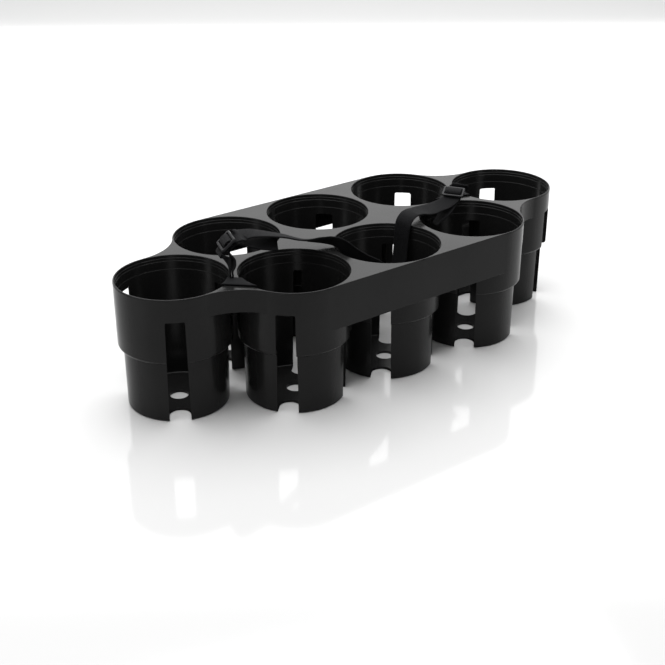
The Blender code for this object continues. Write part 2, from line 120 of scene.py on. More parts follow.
cup_places = {
    "end_cup_left": (-end_reach, 0),
    "front_cup_left": (-cup_pitch, -cup_pitch / 2),
    "front_cup_middle": (0, -cup_pitch / 2),
    "front_cup_right": (cup_pitch, -cup_pitch / 2),
    "back_cup_left": (-cup_pitch, cup_pitch / 2),
    "back_cup_middle": (0, cup_pitch / 2),
    "back_cup_right": (cup_pitch, cup_pitch / 2),
    "end_cup_right": (end_reach, 0),
}
window_degrees = {name: (45, 135, 225, 315) for name in cup_places}
window_degrees["end_cup_left"] = (0, 120, 240)
window_degrees["end_cup_right"] = (60, 180, 300)

# The strap's route: place as shares of the cup pitch, with height over the deck, then the way
# that its width points.
left_run_shares = (
    ((-1.411, -0.280, 0.324), (-0.32, -0.92, -0.24)),
    ((-1.340, -0.257, 0.317), (-0.38, -0.90, -0.20)),
    ((-1.244, -0.261, 0.308), (-0.45, -0.89, -0.08)),
    ((-1.146, -0.266, 0.283), (-0.51, -0.86, 0.06)),
    ((-1.047, -0.267, 0.251), (-0.56, -0.81, 0.18)),
    ((-0.921, -0.254, 0.204), (-0.57, -0.78, 0.25)),
    ((-0.790, -0.246, 0.148), (-0.58, -0.76, 0.30)),
    ((-0.708, -0.238, 0.116), (-0.57, -0.74, 0.36)),
    ((-0.630, -0.236, 0.094), (-0.55, -0.70, 0.45)),
    ((-0.567, -0.248, 0.082), (-0.50, -0.65, 0.57)),
    ((-0.508, -0.277, 0.074), (-0.45, -0.59, 0.67)),
    ((-0.457, -0.322, 0.068), (-0.38, -0.51, 0.77)),
)
dip_shares = (
    ((-0.416, -0.376, 0.054), (-0.20, -0.58, 0.79)),
    ((-0.333, -0.415, -0.035), (0.00, -0.54, 0.84)),
    ((-0.232, -0.440, -0.123), (0.10, -0.48, 0.87)),
    ((-0.069, -0.443, -0.228), (0.18, -0.60, 0.76)),
    ((0.059, -0.417, -0.364), (0.22, -0.80, 0.54)),
    ((0.153, -0.382, -0.482), (0.26, -0.92, 0.28)),
    ((0.223, -0.347, -0.535), (0.28, -0.95, 0.10)),
    ((0.288, -0.311, -0.494), (0.30, -0.95, 0.03)),
    ((0.321, -0.290, -0.400), (0.30, -0.95, 0.00)),
    ((0.343, -0.281, -0.282), (0.32, -0.94, -0.04)),
    ((0.358, -0.277, -0.153), (0.35, -0.93, -0.09)),
    ((0.370, -0.273, -0.041), (0.40, -0.87, -0.25)),
    ((0.390, -0.269, 0.026), (0.40, -0.86, -0.30)),
    ((0.434, -0.259, 0.066), (0.31, -0.90, -0.27)),
)
dip_bottom = 6
right_run_shares = (
    ((0.499, -0.243, 0.082), (0.20, -0.96, -0.19)),
    ((0.595, -0.221, 0.072), (-0.10, -0.98, -0.14)),
    ((0.750, -0.184, 0.040), (-0.08, -0.94, -0.33)),
    ((0.908, -0.150, 0.028), (0.10, -0.94, -0.31)),
    ((1.008, -0.146, 0.038), (0.50, -0.82, -0.25)),
)
rise_shares = {
    "left": (
        ((-1.504, -0.303, 0.076), (-0.46, -0.89, 0.00)),
        ((-1.508, -0.290, 0.118), (-0.28, -0.96, 0.05)),
        ((-1.516, -0.253, 0.170), (-0.02, -0.99, 0.14)),
    ),
    "right": (
        ((1.310, -0.010, 0.060), (-0.20, -0.98, 0.00)),
        ((1.300, -0.050, 0.100), (0.20, -0.98, 0.00)),
        ((1.272, -0.062, 0.142), (0.48, -0.88, -0.04)),
    ),
}
return_shares = {
    "left": (
        ((-1.489, -0.315, 0.076), (-0.45, -0.89, 0.00)),
        ((-1.476, -0.309, 0.112), (-0.26, -0.97, 0.00)),
        ((-1.463, -0.288, 0.164), (-0.26, -0.97, 0.00)),
    ),
    "right": (((1.255, -0.020, 0.050), (0.10, -0.99, 0.00)),),
}
tail_shares = {
    "left": (
        ((-1.334, -0.257, 0.259), (-0.36, -0.90, -0.20)),
        ((-1.228, -0.261, 0.219), (-0.36, -0.86, -0.35)),
        ((-1.116, -0.268, 0.187), (-0.42, -0.80, -0.42)),
        ((-1.006, -0.274, 0.158), (-0.44, -0.78, -0.42)),
    ),
    "right": (
        ((1.040, -0.148, 0.012), (0.45, -0.88, -0.10)),
        ((0.985, -0.160, -0.047), (0.00, -0.99, 0.05)),
        ((0.922, -0.162, -0.098), (-0.30, -0.94, 0.12)),
        ((0.867, -0.162, -0.135), (-0.43, -0.89, 0.15)),
    ),
}
buckle_places = {
    "left": ((-1.486, -0.239, 0.288), (0.70, -0.20, 0.68), (-0.32, -0.95, -0.03)),
    "right": ((1.147, -0.103, 0.106), (-0.777, -0.571, -0.262), (0.594, -0.80, -0.025)),
}
fold_sides = {"left": 1, "right": -1}

# The fold over a buckle's middle bar: share of the way out to its slots, and share of its height.
fold_arch_shares = ((0.98, 0), (0.8, 0.62), (0.4, 0.95), (0, 1))

# Plastics: darkest and lightest tone, roughness, specular level, size and height of the grain.
plastics = {
    "tray_plastic": ((0.009, 0.009, 0.009), (0.012, 0.012, 0.012), 0.20, 0.135, 0.45 * MM, 0.012 * MM),
    "buckle_plastic": ((0.009, 0.009, 0.010), (0.013, 0.013, 0.014), 0.34, 0.15, 0.30 * MM, 0.006 * MM),
}
flow_scale = 22.0
cloud_scale = 55.0
gloss_gain = 0.04
gloss_loss = 0.05

# Woven cloth
warp_pitch = 1.05 * MM
pick_pitch = 1.3 * MM
weave_height = 0.22 * MM
column_shift_share = 0.5
float_slant_share = 0.35
fibre_scale = 5000.0
fibre_height_share = 0.35
fibre_tone_share = 0.3
# Share of painted shade that darkens the grooves between the floats; the fibre share is random tone.
weave_shade_share = 0.7
darkest_cloth = (0.003, 0.003, 0.0035)
lightest_cloth = (0.007, 0.0072, 0.008)

# Floor and lights: place, point aimed at, size and power of each light.
floor_radius = 6000.0 * MM
floor_drop = 0.1 * MM
floor_tone = (0.55, 0.55, 0.55, 1)
world_strength = 0.40
soft_lights = {
    "overhead": ((0.1, 0.3, 1.7), (0, 0, 0), (2.2, 2.2), 66),
    "behind": ((1.1, 1.5, 0.85), (0, 0, 0.1), (2.8, 1.4), 17),
    "left": ((-1.6, 0.2, 0.8), (-0.1, 0, 0.05), (0.7, 1.4), 3),
    "right": ((1.5, -0.7, 0.7), (0.1, 0, 0.05), (0.8, 1.2), 3),
}

# The photograph's camera, with its sensor and focal length in millimetres.
camera_place = Vector((-559.68, -700.11, 435.72)) * MM
camera_right = Vector((0.791, -0.612, -0.0013))
camera_back = Vector((-0.5515, -0.7129, 0.4333))
sensor_width = 36.0
focal_length = 67.68

# Mesh counts, and the angles in degrees from which an edge counts as a corner.
cup_segments = 144
hole_segments = 48
bar_segments = 24
rail_segments = 12
floor_segments = 64
band_bend_steps = 6
steps_between_stations = 8
fold_steps = 3
neck_rounds = 12
corner_angle = 35
tray_corner_angle = 32
buckle_corner_angle = 50
webbing_corner_angle = 60


def tidy_mesh(shape, name, material, angle=corner_angle):
    """A bmesh as a new object, smooth with its real corners kept sharp."""
    bmesh.ops.recalc_face_normals(shape, faces=shape.faces)
    mesh = bpy.data.meshes.new(name)
    shape.to_mesh(mesh)
    shape.free()
    mesh.shade_smooth()
    mesh.set_sharp_from_angle(angle=radians(angle))
    if material:
        mesh.materials.append(material)
    made = bpy.data.objects.new(name, mesh)
    bpy.context.scene.collection.objects.link(made)
    return made


def skinned(shape, rings):
    """Skin rings of equal point count with quads, and close both ends."""
    loops = [[shape.verts.new(point) for point in ring] for ring in rings]
    count = len(loops[0])
    for lower, upper in zip(loops, loops[1:]):
        for column in range(count):
            following = (column + 1) % count
            shape.faces.new((lower[column], lower[following], upper[following], upper[column]))
    shape.faces.new(list(reversed(loops[0])))
    shape.faces.new(loops[-1])


def solid(name, stacks, material=None):
    """One object from several stacks of rings, each of them a closed body."""
    shape = bmesh.new()
    for rings in stacks:
        skinned(shape, rings)
    return tidy_mesh(shape, name, material)


def combined(target, tools, solver, angle):
    """The target's mesh once each tool is joined to it or cut from it; the tools are removed."""
    for tool, operation in tools:
        modifier = target.modifiers.new(tool.name, "BOOLEAN")
        modifier.operation = operation
        modifier.solver = solver
        modifier.object = tool
    bpy.context.view_layer.update()
    evaluated = target.evaluated_get(bpy.context.evaluated_depsgraph_get())
    finished = bpy.data.meshes.new_from_object(evaluated)
    target.modifiers.clear()
    target.data = finished
    for tool, operation in tools:
        bpy.data.objects.remove(tool)
    finished.shade_smooth()
    finished.set_sharp_from_angle(angle=radians(angle))
    return finished


def arc(centre, radius, start, end, steps):
    """Points of an arc, with its start and end in degrees."""
    angles = [radians(start + (end - start) * step / steps) for step in range(steps + 1)]
    return [(centre[0] + radius * cos(a), centre[1] + radius * sin(a)) for a in angles]


def turned(centre, profile, segments):
    """Rings round a vertical axis, from (radius, height) pairs going up."""
    turns = [2 * pi * step / segments for step in range(segments)]
    return [[(centre[0] + radius * cos(a), centre[1] + radius * sin(a), height) for a in turns]
            for radius, height in profile]


def cup_outside():
    """The outer wall from the rounded base over the shoulder to the deck."""
    upper = cup_outer_radius - upper_draft
    lower = upper - shoulder_step
    base = lower - lower_draft
    ledge = shoulder_height - shoulder_radius
    profile = arc((base - base_edge_radius, base_edge_radius), base_edge_radius, -90, 0, 8)
    profile.append((lower, ledge - shoulder_fall))
    profile += arc((upper - shoulder_radius, shoulder_height), shoulder_radius, -90, 0, 10)
    profile.append((cup_outer_radius, cup_height - deck_land_depth))
    return profile


def cup_inside():
    """The bore with the fine steps under its rim and the rounded lip."""
    radius = cup_bore_radius - sum(step for depth, step in rim_steps)
    lower = cup_outer_radius - upper_draft - shoulder_step - lower_wall
    ledge = shoulder_height - shoulder_radius + lower_wall
    inner_radius = shoulder_radius - lower_wall / 2
    profile = arc((lower - lower_draft / 2 - base_edge_radius, floor_thickness + base_edge_radius),
                  base_edge_radius, -90, 0, 5)
    profile.append((lower, ledge))
    profile += arc((radius - inner_radius, ledge + inner_radius), inner_radius, -90, 0, 6)
    for depth, step in reversed(rim_steps):
        profile.append((radius, cup_height - depth - step))
        radius += step
        profile.append((radius, cup_height - depth))
    lip = (cup_bore_radius + rim_rounding, cup_height - rim_rounding * lip_drop_share)
    profile += arc(lip, rim_rounding, 180, 90, 6)
    profile.append((cup_bore_radius + rim_rounding, cup_height + overrun))
    return profile


def tray_outline(inset):
    """The deck's outline with the depth of the skirt at each point, from the front right cup."""
    swell = skirt_radius - inset
    hollow = saddle_radius + inset
    corner = arc((cup_pitch, -cup_pitch / 2), swell, -90, -30, 12)
    quarter = [(point, skirt_side_height) for point in corner[:3]]
    quarter += [(point, skirt_saddle_height) for point in corner[3:]]
    quarter += [(point, skirt_saddle_height)
                for point in arc((end_reach, -cup_pitch), hollow, 150, 90, 20)[1:]]
    quarter += [(point, skirt_saddle_height) for point in arc((end_reach, 0), swell, -90, 0, 36)[1:]]
    half = quarter + [((x, -y), depth) for (x, y), depth in reversed(quarter[:-1])]
    return half + [((-x, -y), depth) for (x, y), depth in half]


def tray_shell():
    """Rings of the deck plate with its skirt, rounded at the top edge and along the hem."""
    def at_height(inset, height):
        return [(x, y, height) for (x, y), depth in tray_outline(inset)]

    def over_hem(inset, lift):
        return [(x, y, cup_height - depth + lift) for (x, y), depth in tray_outline(inset)]

    hem = skirt_edge_radius
    rings = [at_height(skirt_thickness, cup_height - deck_thickness), over_hem(skirt_thickness, hem)]
    rings += [over_hem(skirt_thickness - hem * (1 - cos(a)), hem * (1 - sin(a)))
              for a in (pi / 6, pi / 3, pi / 2)]
    rings += [over_hem(hem * (1 - sin(a)), hem * (1 - cos(a))) for a in (0, pi / 6, pi / 3, pi / 2)]
    edge = rim_rounding * deck_edge_share
    rings += [at_height(edge * (1 - cos(a)), cup_height - edge * (1 - sin(a)))
              for a in (0, pi / 8, pi / 4, 3 * pi / 8, pi / 2)]
    return rings


def window_rings(centre, degrees):
    """A window's cutter: it narrows upwards, with rounded top corners and a round end in the floor."""
    turn = radians(degrees)
    along = (cos(turn), sin(turn))
    across = (-sin(turn), cos(turn))
    notch_radius = window_bottom_width / 2
    notch_centre = notch_inner_radius + notch_radius
    taper = (window_bottom_width - window_top_width) / 2 / window_top_height
    corner = window_corner_radius
    levels = [(-overrun, 0)]
    levels += [(window_top_height - corner * (1 - sin(a)), corner * (1 - cos(a)))
               for a in (0, pi / 8, pi / 4, 3 * pi / 8, pi / 2)]
    rings = []
    for height, pinch in levels:
        half = notch_radius - taper * height - pinch
        plan = arc((notch_centre, 0), half, 90, 270, 16)
        plan += [(cup_outer_radius + cup_gap / 2, side) for side in (-half, half)]
        rings.append([(centre[0] + along[0] * out + across[0] * aside,
                       centre[1] + along[1] * out + across[1] * aside, height) for out, aside in plan])
    return rings


def neck_frame(first, second):
    """The middle of the neck between two cups, the way across it and the way along it."""
    start, end = Vector(cup_places[first]), Vector(cup_places[second])
    across = (end - start).normalized()
    return (start + end) / 2, across, Vector((across.y, -across.x))


necks = {"left": neck_frame("end_cup_left", "front_cup_left"),
         "right": neck_frame("back_cup_right", "end_cup_right")}
neck_skew_shares = {"left": wrap_skew_share, "right": -wrap_skew_share}
neck_offsets = {"left": left_neck_offset, "right": right_neck_offset}
foot_offsets = {"left": left_foot_offset, "right": right_foot_offset}
foot_asides = {"left": left_foot_aside, "right": 0}
foot_spreads = {"left": strap_thickness / 2 + running_gap, "right": strap_thickness}


def neck_reach(skew_share, offset, radius):
    """How far across a neck a circle about the cup's axis lies, at an offset along the neck."""
    reach = cup_gap
    for attempt in range(neck_rounds):
        along = offset + skew_share * reach
        reach = cup_pitch / 2 - sqrt(radius ** 2 - along ** 2)
    return reach


def slot_rings(side):
    """The slot's cutter, through both cup walls beside a neck."""
    middle, across, outward = necks[side]
    half = strap_width / 2 + slot_margin
    offset = neck_offsets[side]
    spread = neck_reach(wrap_skew_share, offset + half, cup_bore_radius)
    top = cup_height - slot_depth
    rings = []
    for height in (top - slot_height, top):
        ring = []
        for a, b in ((-1, -1), (1, -1), (1, 1), (-1, 1)):
            place = middle + outward * (offset + (half + spread * wrap_skew_share) * a)
            place = place + across * (spread + lower_wall) * b
            ring.append((place.x, place.y, height))
        rings.append(ring)
    return rings


def paint_shade_on_window_sides(mesh):
    """Mark the upright sides of the windows, where they cross the cup walls, for painted shade: they
    lose their reflection so that they look shaded.
    """
    mark = mesh.attributes.new("window_side_shade", "FLOAT", "FACE")
    for face in mesh.polygons:
        centre = face.center
        spokes = [Vector((centre.x - x, centre.y - y)) for x, y in cup_places.values()]
        spoke = min(spokes, key=lambda way: way.length)
        crosses_wall = abs(spoke.normalized().dot(face.normal.xy)) < wall_facing_share
        in_wall = spoke.length < cup_outer_radius and centre.z < window_top_height
        if crosses_wall and in_wall and abs(face.normal.z) < wall_facing_share:
            mark.data[face.index].value = 1.0


def moulded_tray(material):
    """The whole tray as the one moulding that it is."""
    cups = solid("tray", [turned(place, cup_outside(), cup_segments) for place in cup_places.values()],
                 material)
    shell = solid("shell", [tray_shell()])
    bores = solid("bores", [turned(place, cup_inside(), cup_segments) for place in cup_places.values()])
    openings = [window_rings(cup_places[name], degrees)
                for name, turns in window_degrees.items() for degrees in turns]
    hole = [(base_hole_radius, -overrun), (base_hole_radius, floor_thickness + overrun)]
    openings += [turned(place, hole, hole_segments) for place in cup_places.values()]
    openings += [slot_rings(side) for side in necks]
    cuts = solid("cuts", openings)
    tools = ((shell, "UNION"), (bores, "DIFFERENCE"), (cuts, "DIFFERENCE"))
    paint_shade_on_window_sides(combined(cups, tools, "MANIFOLD", tray_corner_angle))
    weighted = cups.modifiers.new("flat_faces_lead", "WEIGHTED_NORMAL")
    weighted.keep_sharp = True
    weighted.weight = 90
    return cups


def on_tray(place_shares):
    """A place given as shares of the cup pitch, with its height over the deck."""
    x, y, height = place_shares
    return Vector((cup_pitch * x, cup_pitch * y, cup_height + cup_pitch * height))


def buckle_axes(side):
    """A buckle's centre, the way along it, the way across it and the way up from it."""
    place, along, across = buckle_places[side]
    across = Vector(across).normalized()
    along = Vector(along)
    along = (along - across * along.dot(across)).normalized()
    above = across.cross(along) * fold_sides[side]
    return on_tray(place), along, across, above


def buckle_matrix(side):
    centre, along, across, above = buckle_axes(side)
    matrix = Matrix((along, -across * fold_sides[side], above)).transposed().to_4x4()
    matrix.translation = centre
    return matrix


def at_buckle(side, along_distance, above_distance):
    """A station beside a buckle: its place and the way that the webbing's width points."""
    centre, along, across, above = buckle_axes(side)
    return centre + along * along_distance + above * above_distance, across


def stations_of(shares):
    return [(on_tray(place), Vector(width)) for place, width in shares]


def smooth(rows, steps):
    """Rows along a smooth curve through rows that start with a place, and its direction there."""
    rows = np.array(rows, float)
    chords = np.linalg.norm(np.diff(rows[:, :3], axis=0), axis=1)[:, None]
    slopes = np.diff(rows, axis=0) / chords
    inner = (slopes[:-1] * chords[1:] + slopes[1:] * chords[:-1]) / (chords[1:] + chords[:-1])
    bends = np.vstack([slopes[:1], inner, slopes[-1:]])
    curve = []
    for index, chord in enumerate(chords):
        start, end = rows[index], rows[index + 1]
        leaving, arriving = bends[index] * chord, bends[index + 1] * chord
        for step in range(steps + (index == len(chords) - 1)):
            t = step / steps
            place = ((2 * t ** 3 - 3 * t ** 2 + 1) * start + (t ** 3 - 2 * t ** 2 + t) * leaving
                     + (3 * t ** 2 - 2 * t ** 3) * end + (t ** 3 - t ** 2) * arriving)
            speed = ((6 * t ** 2 - 6 * t) * (start - end) + (3 * t ** 2 - 4 * t + 1) * leaving
                     + (3 * t ** 2 - 2 * t) * arriving)
            curve.append((place, speed[:3]))
    return curve


def webbing_section():
    """The webbing's section as (share of half width, share of half thickness) pairs."""
    edge = strap_thickness / strap_width
    flat = [-1 + edge, -0.66, -0.33, 0, 0.33, 0.66, 1 - edge]
    top = [(place, 1) for place in flat]
    nose = [(1 - edge + edge * sin(a), cos(a)) for a in (pi / 4, pi / 2, 3 * pi / 4)]
    bottom = [(-place, -1) for place in flat]
    return top + nose + bottom + [(-place, -height) for place, height in nose]


def frames_along(stations, square=True, steps=steps_between_stations):
    """Place, width way and normal at closely spaced points of a route."""
    rows = [(*place, *way.normalized()) for place, way in stations]
    frames = []
    for row, speed in smooth(rows, steps):
        forward = Vector(speed).normalized()
        across = Vector(row[3:6])
        if square:
            across = across - forward * across.dot(forward)
        across.normalize()
        frames.append((Vector(row[:3]), across, across.cross(forward).normalized()))
    return frames


def woven_quads(shape, layer, rows, row_pairs, uv_at):
    """Quads between rows of vertices, with the cloth's UV at each corner."""
    count = len(rows[0])
    for index, next_index in row_pairs:
        for column in range(count):
            following = (column + 1) % count
            corners = ((index, column), (index, following),
                       (next_index, following), (next_index, column))
            face = shape.faces.new([rows[row][point] for row, point in corners])
            for loop, (row, point) in zip(face.loops, corners):
                loop[layer].uv = uv_at(row, point)


def webbing(name, frames, material):
    """A flat woven band with rounded edges, with its length and width in metres as UVs."""
    section = webbing_section()
    shape = bmesh.new()
    layer = shape.loops.layers.uv.new("weave")
    rows = []
    distances = []
    travelled = 0
    previous = None
    for place, across, normal in frames:
        if previous is not None:
            travelled += (place - previous).length
        previous = place
        distances.append(travelled)
        half = across * (strap_width / 2)
        lift = normal * (strap_thickness / 2)
        rows.append([shape.verts.new(place + half * a + lift * b) for a, b in section])
    row_pairs = [(index, index + 1) for index in range(len(rows) - 1)]
    woven_quads(shape, layer, rows, row_pairs,
                lambda row, point: (distances[row], section[point][0] * strap_width / 2))
    for row, index in ((list(reversed(rows[0])), 0), (rows[-1], -1)):
        face = shape.faces.new(row)
        for loop in face.loops:
            loop[layer].uv = (distances[index], 0)
    return tidy_mesh(shape, name, material, webbing_corner_angle)


def band_round_neck(side, material):
    """The closed band of webbing round a neck, through the slots on both sides of it."""
    middle, across, outward = necks[side]
    skew = neck_skew_shares[side]
    deck = cup_height + running_gap
    under = cup_height - slot_depth - slot_height + running_gap + strap_thickness
    wall_side = cup_bore_radius - running_gap
    edge = strap_thickness / strap_width
    offsets = [strap_width / 2 * share for share in (-1, -1 + edge, -0.5, 0, 0.5, 1 - edge, 1)]
    outer_face = (offsets, 1, wall_side - strap_thickness, deck + strap_thickness, under,
                  strap_thickness * outer_bend_share)
    inner_face = (offsets[::-1], -1, wall_side, deck, under + strap_thickness,
                  strap_thickness * (outer_bend_share - 1))
    shape = bmesh.new()
    layer = shape.loops.layers.uv.new("weave")
    rows = []
    sides = []
    for face_offsets, sign, radius, top, bottom, bend in (outer_face, inner_face):
        for offset in face_offsets:
            centre = neck_offsets[side] + offset
            right = neck_reach(skew, centre, radius) - bend
            left = -neck_reach(-skew, centre, radius) + bend
            at_selvedge = abs(offset) > strap_width * selvedge_place_share
            pinch = strap_thickness * selvedge_pinch_share * sign if at_selvedge else 0
            upper = top - pinch - bend
            lower = bottom + pinch + bend
            path = arc((right, upper), bend, 90, 0, band_bend_steps)
            path += arc((right, lower), bend, 0, -90, band_bend_steps)
            path += arc((left, lower), bend, -90, -180, band_bend_steps)
            path += arc((left, upper), bend, 180, 90, band_bend_steps)
            ring = []
            for aside, height in path:
                place = middle + across * aside + outward * (centre + skew * aside)
                ring.append(shape.verts.new((place.x, place.y, height)))
            rows.append(ring)
            sides.append(offset)

    def on_cloth(row, point):
        spot = rows[row][point].co
        return spot.z + spot.x * across.x + spot.y * across.y, sides[row]

    row_pairs = [(index, (index + 1) % len(rows)) for index in range(len(rows))]
    woven_quads(shape, layer, rows, row_pairs, on_cloth)
    return tidy_mesh(shape, "strap_band_" + side, material, webbing_corner_angle)


def foot_stations(side, side_of_fold):
    """Where a layer stands on the band round its neck."""
    middle, across, outward = necks[side]
    aside = foot_asides[side] + foot_spreads[side] * side_of_fold
    place = middle + outward * foot_offsets[side] + across * aside
    seat = cup_height + running_gap + strap_thickness + running_gap
    heights = (seat, seat + strap_thickness)
    return [(Vector((place.x, place.y, height)), outward.to_3d()) for height in heights]


def anchor_layers(side, material):
    """The two layers between a buckle and its neck, the inner one ending as the free tail."""
    fold_side = fold_sides[side]
    under = -buckle_to_strap
    dropped = under - strap_thickness * layer_drop_share
    below = under - strap_thickness - tail_clearance
    outer_end = buckle_length / 2 + strap_thickness + running_gap
    rise = foot_stations(side, -fold_side) + stations_of(rise_shares[side])
    rise.append(at_buckle(side, -outer_end - 2 * strap_thickness, dropped))
    rise.append(at_buckle(side, -outer_end, under))
    layers = [webbing("strap_layer_" + side, frames_along(rise, square=False), material)]
    tail = foot_stations(side, fold_side) + stations_of(return_shares[side])
    tail.append(at_buckle(side, -buckle_length / 3, below - strap_thickness))
    tail += [at_buckle(side, -buckle_middle_bar / 2, below),
             at_buckle(side, buckle_length / 4, below - strap_thickness / 2)]
    tail += stations_of(tail_shares[side])
    layers.append(webbing("strap_end_" + side, frames_along(tail, square=False), material))
    return layers


def long_route():
    """Stations from the left buckle to the right one, and which frame along them is the lowest."""
    under = -buckle_to_strap
    outer_end = buckle_length / 2 + strap_thickness
    near = buckle_length / 2 * strap_sink_place_share
    sunk = under - strap_thickness * strap_sink_share
    left, right = [[at_buckle(side, -outer_end, under), at_buckle(side, 0, under),
                    at_buckle(side, near, sunk)] for side in ("left", "right")]
    before = left + stations_of(left_run_shares)
    stations = before + stations_of(dip_shares) + stations_of(right_run_shares) + right[::-1]
    return stations, (len(before) + dip_bottom) * steps_between_stations


def buckle_frame(side, material):
    """A slide buckle: a rounded outer frame with a flattened round middle bar."""
    half_length = buckle_length / 2
    half_width = strap_width / 2 + running_gap + buckle_rail_width
    corner = buckle_corner_radius

    def outline(inset):
        plan = []
        for quadrant, (a, b) in enumerate(((1, 1), (-1, 1), (-1, -1), (1, -1))):
            centre = ((half_length - corner) * a, (half_width - corner) * b)
            plan += arc(centre, corner - inset, 90 * quadrant, 90 * quadrant + 90, 8)
        return plan

    shape = bmesh.new()
    rail = buckle_rail_width / 2
    rings = []
    for step in range(rail_segments):
        turn = 2 * pi * step / rail_segments
        squared = [abs(value) ** rail_squareness * (1 if value > 0 else -1)
                   for value in (cos(turn), sin(turn))]
        inset = rail * (1 - squared[0])
        height = buckle_thickness / 2 * squared[1]
        rings.append([shape.verts.new((x, y, height)) for x, y in outline(inset)])
    count = len(rings[0])
    for index, ring in enumerate(rings):
        other = rings[(index + 1) % rail_segments]
        for column in range(count):
            following = (column + 1) % count
            shape.faces.new((ring[column], ring[following], other[following], other[column]))
    frame_object = tidy_mesh(shape, "slide_buckle_" + side, material)
    half_bar = buckle_middle_bar / 2
    bar_height = buckle_thickness * middle_bar_height_share
    turns = [2 * pi * step / bar_segments for step in range(bar_segments)]
    bar = solid("bar", [[[(half_bar * cos(a), (half_width - rail) * end, bar_height * sin(a))
                          for a in turns] for end in (-1, 1)]])
    combined(frame_object, ((bar, "UNION"),), "EXACT", buckle_corner_angle)
    frame_object.matrix_world = buckle_matrix(side)
    return frame_object


def fold_over_bar(side, material):
    """The webbing where it goes up through the buckle and over its middle bar."""
    slot_length = (buckle_length - 2 * buckle_end_bar - buckle_middle_bar) / 2
    side_place = (buckle_middle_bar + slot_length) / 2 + running_gap
    path = [(-side_place, -buckle_thickness / 2)]
    path += [(-side_place * out, buckle_to_strap * height) for out, height in fold_arch_shares]
    path += [(-place, height) for place, height in reversed(path[:-1])]
    stations = [(Vector((place, 0, height)), Vector((0, 1, 0))) for place, height in path]
    fold = webbing("strap_over_bar_" + side, frames_along(stations, steps=fold_steps), material)
    fold.matrix_world = buckle_matrix(side)
    return fold


class Shader:
    """A material's node tree, with short ways to add and join nodes."""

    def __init__(self, name, **settings):
        self.material = bpy.data.materials.new(name)
        self.material.use_nodes = True
        self.nodes = self.material.node_tree.nodes
        self.links = self.material.node_tree.links
        self.surface = self.nodes["Principled BSDF"]
        for key, value in settings.items():
            self.surface.inputs[key.replace("_", " ")].default_value = value

    def add(self, kind, inputs=(), **properties):
        node = self.nodes.new(kind)
        for key, value in properties.items():
            setattr(node, key, value)
        for socket, value in dict(inputs).items():
            if isinstance(value, bpy.types.NodeSocket):
                self.links.new(value, node.inputs[socket])
            else:
                node.inputs[socket].default_value = value
        return node

    def math(self, operation, first, second=0.0):
        return self.add("ShaderNodeMath", {0: first, 1: second}, operation=operation).outputs[0]

    def noise(self, coordinates, scale, detail):
        node = self.add("ShaderNodeTexNoise", {"Vector": coordinates, "Scale": scale, "Detail": detail})
        return node.outputs[0]

    def mapped(self, value, low, high, start=0.3, end=0.7):
        limits = {0: value, 1: start, 2: end, 3: low, 4: high}
        return self.add("ShaderNodeMapRange", limits).outputs[0]

    def mixed(self, factor, first, second):
        colours = {0: factor, 6: (*first, 1), 7: (*second, 1)}
        return self.add("ShaderNodeMix", colours, data_type="RGBA").outputs[2]

    def bump(self, height, distance, edge_radius=0.0):
        node = self.add("ShaderNodeBump", {"Height": height, "Distance": distance})
        if edge_radius:
            rounded = self.add("ShaderNodeBevel", {"Radius": edge_radius}, samples=4).outputs[0]
            self.links.new(rounded, node.inputs["Normal"])
        self.links.new(node.outputs[0], self.surface.inputs["Normal"])

    def feed(self, socket, value):
        self.links.new(value, self.surface.inputs[socket])


def moulded_plastic(name):
    """Black moulded plastic: a fine spark-eroded grain, and faint flow marks in tone and gloss."""
    dark, light, roughness, specular, grain_size, grain_height = plastics[name]
    shader = Shader(name, Specular_IOR_Level=specular)
    place = shader.add("ShaderNodeTexCoord").outputs["Object"]
    flow = shader.noise(place, flow_scale, 3.0)
    shader.feed("Base Color", shader.mixed(shader.mapped(flow, 0.0, 1.0), dark, light))
    # Painted shade: the specular level falls to nothing on the marked window sides, so they stay dark
    # like shaded slits.
    window_side_shade = shader.add("ShaderNodeAttribute", attribute_name="window_side_shade").outputs["Fac"]
    shader.feed("Specular IOR Level", shader.mapped(window_side_shade, specular, 0.0, 0.0, 1.0))
    cloud = shader.noise(place, cloud_scale, 4.0)
    shader.feed("Roughness", shader.mapped(cloud, roughness - gloss_gain, roughness + gloss_loss))
    grain = shader.noise(place, 1 / grain_size, 2.0)
    shader.bump(grain, grain_height, moulded_edge_radius)
    return shader.material


